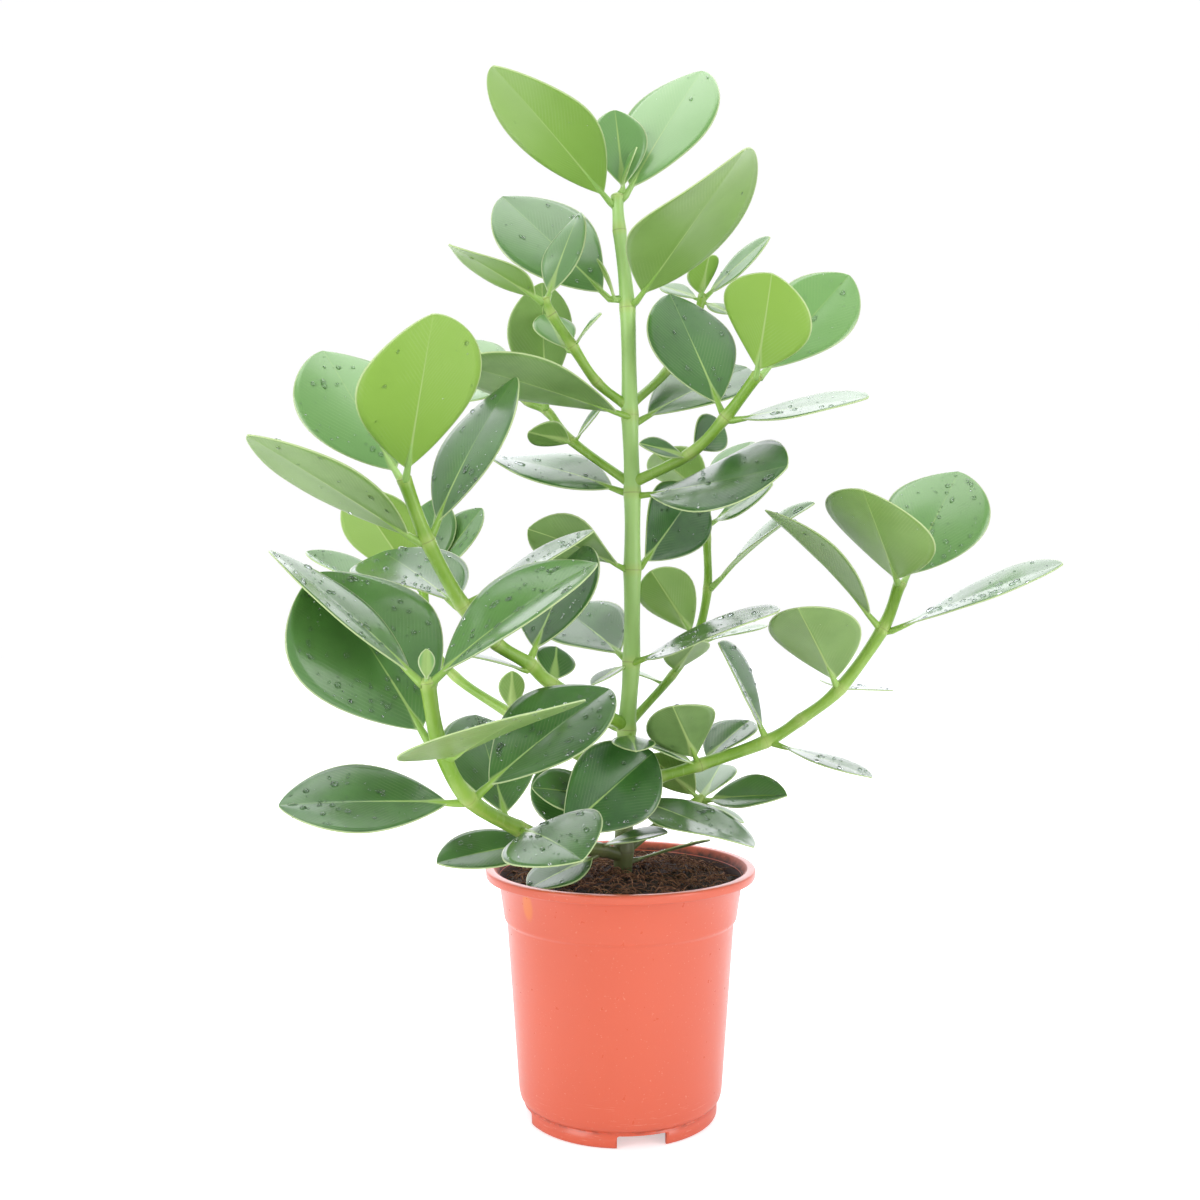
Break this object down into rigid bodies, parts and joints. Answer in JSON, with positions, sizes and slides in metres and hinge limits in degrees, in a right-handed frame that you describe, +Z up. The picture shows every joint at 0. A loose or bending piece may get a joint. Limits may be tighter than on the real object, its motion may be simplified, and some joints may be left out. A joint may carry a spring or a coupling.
{
  "type": "potted clusia",
  "caption": "Young clusia houseplant with leathery paired leaves on a branching stem, rooted in peat in a round plastic nursery pot.",
  "frame": {"origin": "centre of the pot's flat underside, on the floor plane", "axes": "+Z up along the pot's axis; the plant's pictured front faces -Y; +X is to the right seen from the front"},
  "size_m": [0.4799, 0.346, 0.6716],
  "materials": {
    "terracotta_plastic": "glossy moulded plastic, terracotta orange",
    "peat": null,
    "main_stem_green": "living leaf and green stem: glossy dark green above, paler matte green below",
    "shoot_low_front_left_green": "living leaf and green stem: glossy dark green above, paler matte green below",
    "shoot_left_green": "living leaf and green stem: glossy dark green above, paler matte green below",
    "shoot_left_back_green": "living leaf and green stem: glossy dark green above, paler matte green below",
    "shoot_right_green": "living leaf and green stem: glossy dark green above, paler matte green below",
    "shoot_right_back_green": "living leaf and green stem: glossy dark green above, paler matte green below",
    "shoot_upper_right_green": "living leaf and green stem: glossy dark green above, paler matte green below",
    "shoot_upper_right_back_green": "living leaf and green stem: glossy dark green above, paler matte green below",
    "shoot_upper_left_green": "living leaf and green stem: glossy dark green above, paler matte green below",
    "shoot_upper_left_back_green": "living leaf and green stem: glossy dark green above, paler matte green below",
    "shoot_low_right_green": "living leaf and green stem: glossy dark green above, paler matte green below"
  },
  "bodies": {
    "root": {"pot": "terracotta_plastic", "soil": "peat", "main_stem": "main_stem_green", "shoot_low_front_left": "shoot_low_front_left_green", "shoot_left": "shoot_left_green", "shoot_left_back": "shoot_left_back_green", "shoot_right": "shoot_right_green", "shoot_right_back": "shoot_right_back_green", "shoot_upper_right": "shoot_upper_right_green", "shoot_upper_right_back": "shoot_upper_right_back_green", "shoot_upper_left": "shoot_upper_left_green", "shoot_upper_left_back": "shoot_upper_left_back_green", "shoot_low_right": "shoot_low_right_green"}
  },
  "joints": []
}
